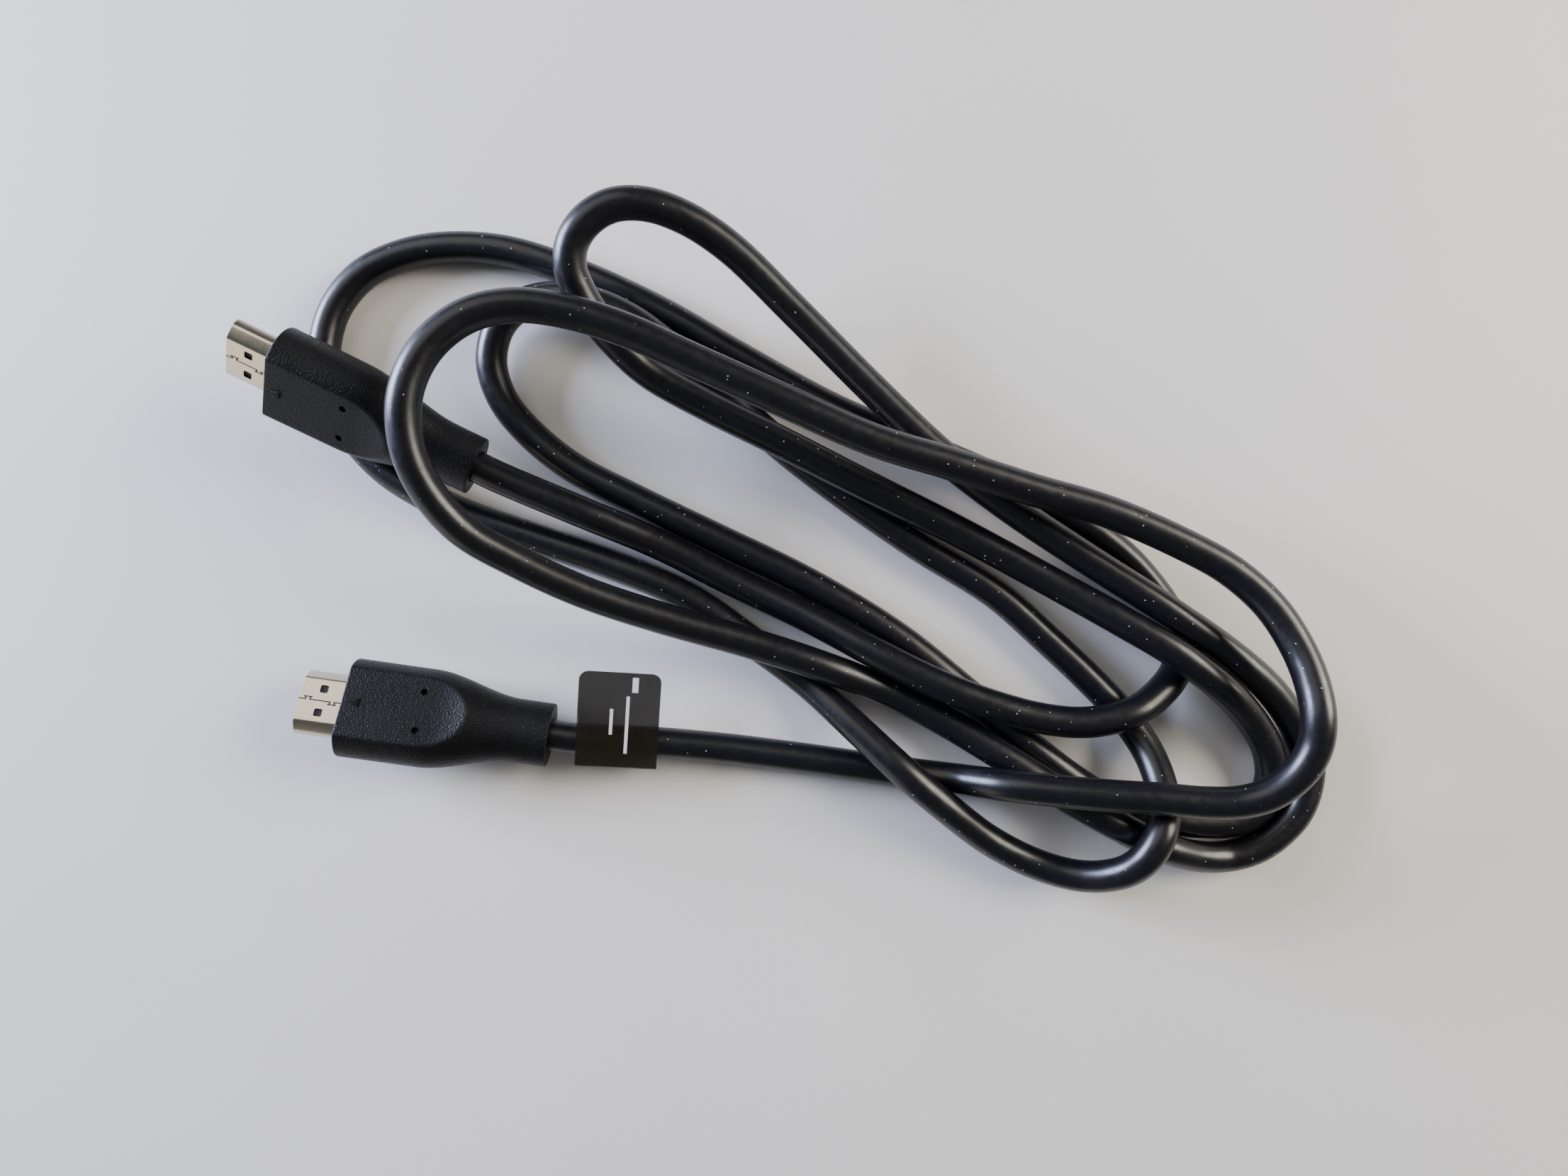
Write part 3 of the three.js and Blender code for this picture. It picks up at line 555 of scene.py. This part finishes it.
shells = []
for plug in PLUGS:
    lip = SHEET / 3
    mouth = [(SHELL_IN, 0), (lip - SHELL_OUT, 0), (-SHELL_OUT, lip), (-SHELL_OUT, 2 * lip)]
    mouth += [(lip - SHELL_OUT, SHEET), (SHELL_IN, SHEET), (SHELL_IN, 0)]
    shell_rings = [shell_ring(x, inset) for x, inset in mouth]
    mesh = rings_to_mesh(f"{plug}_shell_plate", shell_rings, closed_ends=False)
    shape = bmesh.new()
    shape.from_mesh(mesh)
    bmesh.ops.remove_doubles(shape, verts=shape.verts, dist=1e-7)
    bmesh.ops.recalc_face_normals(shape, faces=shape.faces)
    shape.to_mesh(mesh)
    shape.free()
    shell = new_piece(f"{plug}_shell_plate", mesh)
    half = LATCH_HOLE / 2
    for side in (-1, 1):
        square = [Vector(c) for c in ((half, half), (-half, half), (-half, -half), (half, -half))]
        corner_points = rounded(square, LATCH_CORNER)
        rings = [
            [Vector((p.x - LATCH_PLACE, p.y + side * LATCH_SPACING / 2, z)) for p in corner_points]
            for z in (-SHELL_HEIGHT, SHELL_HEIGHT)
        ]
        cut_with(shell, new_piece("punch", rings_to_mesh("punch", rings)))
    seam_faces = []
    seam_points = []
    line = [Vector((x, y)) / 1000 for x, y in SEAM_STEPS]
    for one, two in zip(line, line[1:]):
        way = (two - one).normalized() * SEAM_WIDTH / 2
        aside = Vector((-way.y, way.x))
        at = len(seam_points)
        for p in (one - way - aside, two + way - aside, two + way + aside, one - way + aside):
            seam_points.append((p.x, p.y, SHELL_HEIGHT / 2 + SEAM_LIFT))
        seam_faces.append((at, at + 1, at + 2, at + 3))
    # A flat strip along the seam's jigsaw path, painted dark as the seam's shade.
    seam_mesh = bpy.data.meshes.new(f"{plug}_seam")
    seam_mesh.from_pydata(seam_points, [], seam_faces)
    seam_shade_strip = new_piece(f"{plug}_seam", seam_mesh)
    seam_mesh.materials.append(seam_shadow)
    shell.data.set_sharp_from_angle(angle=SHARP_ANGLE)
    shell.data.materials.clear()
    shell.data.materials.append(nickel)
    for part in (shell, seam_shade_strip):
        part.data.transform(plug_matrix(plug) @ to_front)
    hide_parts(f"{plug}_shell")
    shells += [shell, seam_shade_strip]


# Insulators and contacts. Black glass-filled LCP, with nineteen stamped contacts that are flashed
# with gold. They keep the CAD's own shapes.
# LCP flows into the mould in swirls, which show as faint paler patches on a dull black.
black_lcp, tree, shader, place = new_material("glass_filled_lcp")
flow = add_node(tree, "ShaderNodeTexNoise", {"Vector": place, "Scale": 1 / 0.0007, "Detail": 3})
colour = add_node(tree, "ShaderNodeMix", {
    0: flow.outputs["Fac"], 6: linear("#141416"), 7: linear("#202022"),
}, data_type="RGBA")
tree.links.new(colour.outputs[2], shader.inputs["Base Color"])
shader.inputs["Roughness"].default_value = 0.5

# A thin flash of gold over stamped bronze: bright, with a slightly uneven yellow.
gold_flash, tree, shader, place = new_material("gold_flashed_bronze")
shader.inputs["Metallic"].default_value = 1
polish = add_node(tree, "ShaderNodeTexNoise", {"Vector": place, "Scale": 1 / 0.0005, "Detail": 2})
colour = add_node(tree, "ShaderNodeMix", {
    0: polish.outputs["Fac"], 6: linear("#c99a45"), 7: linear("#e2bd6b"),
}, data_type="RGBA")
tree.links.new(colour.outputs[2], shader.inputs["Base Color"])
shader.inputs["Roughness"].default_value = 0.28

for name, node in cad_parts.items():
    if "insulator" in name or "contact" in name:
        node.data.materials.clear()
        node.data.materials.append(black_lcp if "insulator" in name else gold_flash)


# Label. A strip of smoky polyester film, folded round the cord and stuck to itself as a flag. The
# film shows the table through it, darkened, and its cut edges carry a painted highlight where they
# catch the light. Plain bars are printed on it in white.
LABEL_LENGTH = 0.0176
LABEL_START = 0.0005
LABEL_FILM = 0.00012
LABEL_AIR = 0.00015
LABEL_FOLD = 0.0040  # past the cord's middle
FOLD_RADIUS = 0.0009
LABEL_FLAG = 0.0165
LABEL_STUCK = 0.0075  # the two halves are stuck together from here on
LABEL_CORNER = 0.002
LABEL_TILT = math.radians(20)
PRINT_LIFT = 0.00002
LABEL_BARS = [  # each one's place along the cord, start from the free edge, length and width
    (0.0073, 0.0081, 0.0057, 0.0007),
    (0.0107, 0.0052, 0.0127, 0.0007),
    (0.0121, 0.0010, 0.0033, 0.0013),
]


def film_line(shortened):
    """The film's middle: down the top sheet, round the fold and the cord, and back below."""
    reach = CORD_RADIUS + LABEL_AIR
    lean = math.asin(reach / LABEL_FLAG)
    down = Vector((-math.cos(lean), math.sin(lean)))
    free_edge = Vector((LABEL_FLAG, 0))
    distances = [shortened + (LABEL_FLAG + LABEL_FOLD) * step / 12 for step in range(12)]
    top = [free_edge + down * distance for distance in distances]
    fold = free_edge + down * (LABEL_FLAG + LABEL_FOLD)
    fold_middle = fold + Vector((-down.y, down.x)) * FOLD_RADIUS
    facing = math.atan2(-fold_middle.y, -fold_middle.x)
    leave = facing - math.acos((FOLD_RADIUS - reach) / fold_middle.length) + 2 * math.pi
    first = math.atan2(fold.y - fold_middle.y, fold.x - fold_middle.x)
    turns = [first + (leave - first) * step / 10 for step in range(11)]
    around = [fold_middle + FOLD_RADIUS * Vector((math.cos(t), math.sin(t))) for t in turns]
    under = Vector((-down.y, down.x)) * (LABEL_FILM + PRINT_LIFT)
    meeting = free_edge + down * (LABEL_FLAG - LABEL_STUCK) + under
    last = math.atan2(meeting.y, meeting.x) - math.acos(reach / meeting.length) + 2 * math.pi
    turns = [leave + (last - leave) * step / 12 for step in range(13)]
    below = [reach * Vector((math.cos(t), math.sin(t))) for t in turns]
    back = [meeting.lerp(free_edge + down * shortened + under, step / 4) for step in range(5)]
    return top + around + below + back


def film_ring(x):
    """The film's whole section at x along the label, its outside first and then its inside."""
    from_end = min(x, LABEL_LENGTH - x)
    into_corner = max(LABEL_CORNER - from_end, 0)
    line = film_line(LABEL_CORNER - math.sqrt(LABEL_CORNER ** 2 - into_corner ** 2))
    outside, inside = [], []
    for i, point in enumerate(line):
        way = (line[min(i + 1, len(line) - 1)] - line[max(i - 1, 0)]).normalized()
        outward = Vector((way.y, -way.x)) * LABEL_FILM / 2
        outside.append(Vector((x, *(point + outward))))
        inside.append(Vector((x, *(point - outward))))
    return outside + inside[::-1]


edge_stations = [LABEL_CORNER * share for share in (0, 0.03, 0.12, 0.3, 0.6, 1)]
stations = edge_stations + [LABEL_LENGTH - place for place in reversed(edge_stations)]
film_rings = [film_ring(x) for x in stations]
ring_size = len(film_rings[0])
label_shape = bmesh.new()
label_shape.from_mesh(rings_to_mesh("film", film_rings, closed_ends=False))
label_shape.verts.ensure_lookup_table()
for first in (0, ring_size * (len(stations) - 1)):
    for i in range(ring_size // 2 - 1):
        corners = (i, i + 1, ring_size - 2 - i, ring_size - 1 - i)
        end_face = label_shape.faces.new([label_shape.verts[first + corner] for corner in corners])
        end_face.material_index = 1
bmesh.ops.recalc_face_normals(label_shape, faces=label_shape.faces)
# Material 1, on the ends and the long edges, is the cut edge's painted highlight.
edge_pairs = ({0, ring_size - 1}, {ring_size // 2 - 1, ring_size // 2})
for face in label_shape.faces:
    if {vert.index % ring_size for vert in face.verts} in edge_pairs:
        face.material_index = 1
lean = math.asin((CORD_RADIUS + LABEL_AIR) / LABEL_FLAG)
down = Vector((-math.cos(lean), math.sin(lean)))
over = Vector((math.sin(lean), math.cos(lean))) * (LABEL_FILM / 2 + PRINT_LIFT)
for x, begin, length, width in LABEL_BARS:
    ends = [Vector((LABEL_FLAG, 0)) + down * far + over for far in (begin, begin + length)]
    left, right = x - width / 2, x + width / 2
    corners = [(left, *ends[0]), (right, *ends[0]), (right, *ends[1]), (left, *ends[1])]
    bar = label_shape.faces.new([label_shape.verts.new(corner) for corner in corners])
    bar.material_index = 2
label_mesh = bpy.data.meshes.new("flag_film")
label_shape.to_mesh(label_mesh)
label_shape.free()

label_along = (route[2] - route[1]).normalized()
label_side = Vector((-label_along.y, label_along.x, 0)).normalized()
flag_way = label_side * math.cos(LABEL_TILT) + label_along.cross(label_side) * math.sin(LABEL_TILT)
label_turn = Matrix((label_along, flag_way, label_along.cross(flag_way))).transposed().to_4x4()
label_mesh.transform(Matrix.Translation(route[1] + label_along * LABEL_START) @ label_turn)
label = new_piece("flag_film", label_mesh)
label_mesh.set_sharp_from_angle(angle=SHARP_ANGLE)

# Polyester film, dyed a smoky brown: glossy, see-through, and slightly crinkled where it was
# stuck down by hand.
smoky_film, tree, shader, place = new_material("smoky_polyester_film")
shader.inputs["Alpha"].default_value = 0.55
shader.inputs["IOR"].default_value = 1.6
haze = add_node(tree, "ShaderNodeTexNoise", {"Vector": place, "Scale": 1 / 0.004, "Detail": 3})
scratch = add_node(tree, "ShaderNodeTexNoise", {"Vector": place, "Scale": 1 / 0.0008, "Detail": 4})
colour = add_node(tree, "ShaderNodeMix", {
    0: haze.outputs["Fac"], 6: linear("#1a170f"), 7: linear("#252116"),
}, data_type="RGBA")
rough = add_node(tree, "ShaderNodeMapRange", {
    "Value": scratch.outputs["Fac"], "To Min": 0.08, "To Max": 0.3,
})
crinkle = add_node(tree, "ShaderNodeBump", {
    "Height": haze.outputs["Fac"], "Distance": 0.0001, "Strength": 0.5,
})
tree.links.new(colour.outputs[2], shader.inputs["Base Color"])
tree.links.new(rough.outputs["Result"], shader.inputs["Roughness"])
tree.links.new(crinkle.outputs["Normal"], shader.inputs["Normal"])

# The film's die-cut edge carries a painted highlight: a pale colour, paler than its face, stands for
# the light that the cut edge scatters.
film_edge_highlight, tree, shader, place = new_material("film_edge_painted_highlight")
fray = add_node(tree, "ShaderNodeTexNoise", {"Vector": place, "Scale": 1 / 0.001})
colour = add_node(tree, "ShaderNodeMix", {
    0: fray.outputs["Fac"], 6: linear("#8f8a7c"), 7: linear("#c9c5b8"),
}, data_type="RGBA")
tree.links.new(colour.outputs[2], shader.inputs["Base Color"])

# White ink from a thermal ribbon, which covers a little unevenly.
white_print, tree, shader, place = new_material("white_print")
cover = add_node(tree, "ShaderNodeTexNoise", {"Vector": place, "Scale": 1 / 0.0006, "Detail": 2})
colour = add_node(tree, "ShaderNodeMix", {
    0: cover.outputs["Fac"], 6: linear("#cfccd0"), 7: linear("#e8e6ea"),
}, data_type="RGBA")
tree.links.new(colour.outputs[2], shader.inputs["Base Color"])
shader.inputs["Roughness"].default_value = 0.6

for finish in (smoky_film, film_edge_highlight, white_print):
    label_mesh.materials.append(finish)
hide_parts("flag_label")


# Room. A plain pale table in soft studio light: a window low on the left, a weaker bank on the
# right, and two pale cards, behind the coil and in front of it, for the metal to mirror.
table_mesh = bpy.data.meshes.new("table")
table_corners = [(-3, -3, 0), (3, -3, 0), (3, 3, 0), (-3, 3, 0)]
table_mesh.from_pydata(table_corners, [], [(0, 1, 2, 3)])
table = bpy.data.objects.new("table", table_mesh)
bpy.context.scene.collection.objects.link(table)
# A matt laminate top, with a barely visible mottle.
laminate, tree, shader, place = new_material("pale_laminate")
mottle = add_node(tree, "ShaderNodeTexNoise", {"Vector": place, "Scale": 1 / 0.05, "Detail": 2})
colour = add_node(tree, "ShaderNodeMix", {
    0: mottle.outputs["Fac"], 6: linear("#dfdcd6"), 7: linear("#e4e1dc"),
}, data_type="RGBA")
tree.links.new(colour.outputs[2], shader.inputs["Base Color"])
shader.inputs["Roughness"].default_value = 0.6
table_mesh.materials.append(laminate)

for name, place, size, power, tint in (
    ("window", (-0.90, 0.32, 0.27), 0.45, 36, "#d0dbff"),
    ("back_card", (-0.42, 0.66, 0.90), 0.90, 4, "#fffaf2"),
    ("front_card", (-0.80, -0.74, 0.14), 0.60, 1.6, "#fff4e2"),
    ("bank", (0.80, 0.25, 0.50), 0.50, 13, "#fff6e8"),
):
    light = bpy.data.lights.new(name, "AREA")
    light.size = size
    light.energy = power
    light.color = linear(tint)[:3]
    lamp = bpy.data.objects.new(name, light)
    lamp.location = place
    lamp.rotation_euler = (-Vector(place)).to_track_quat("-Z", "Y").to_euler()
    bpy.context.scene.collection.objects.link(lamp)
world = bpy.data.worlds.new("room")
world.use_nodes = True
world.node_tree.nodes["Background"].inputs["Color"].default_value = linear("#e6e9ee")
world.node_tree.nodes["Background"].inputs["Strength"].default_value = 0.15
bpy.context.scene.world = world
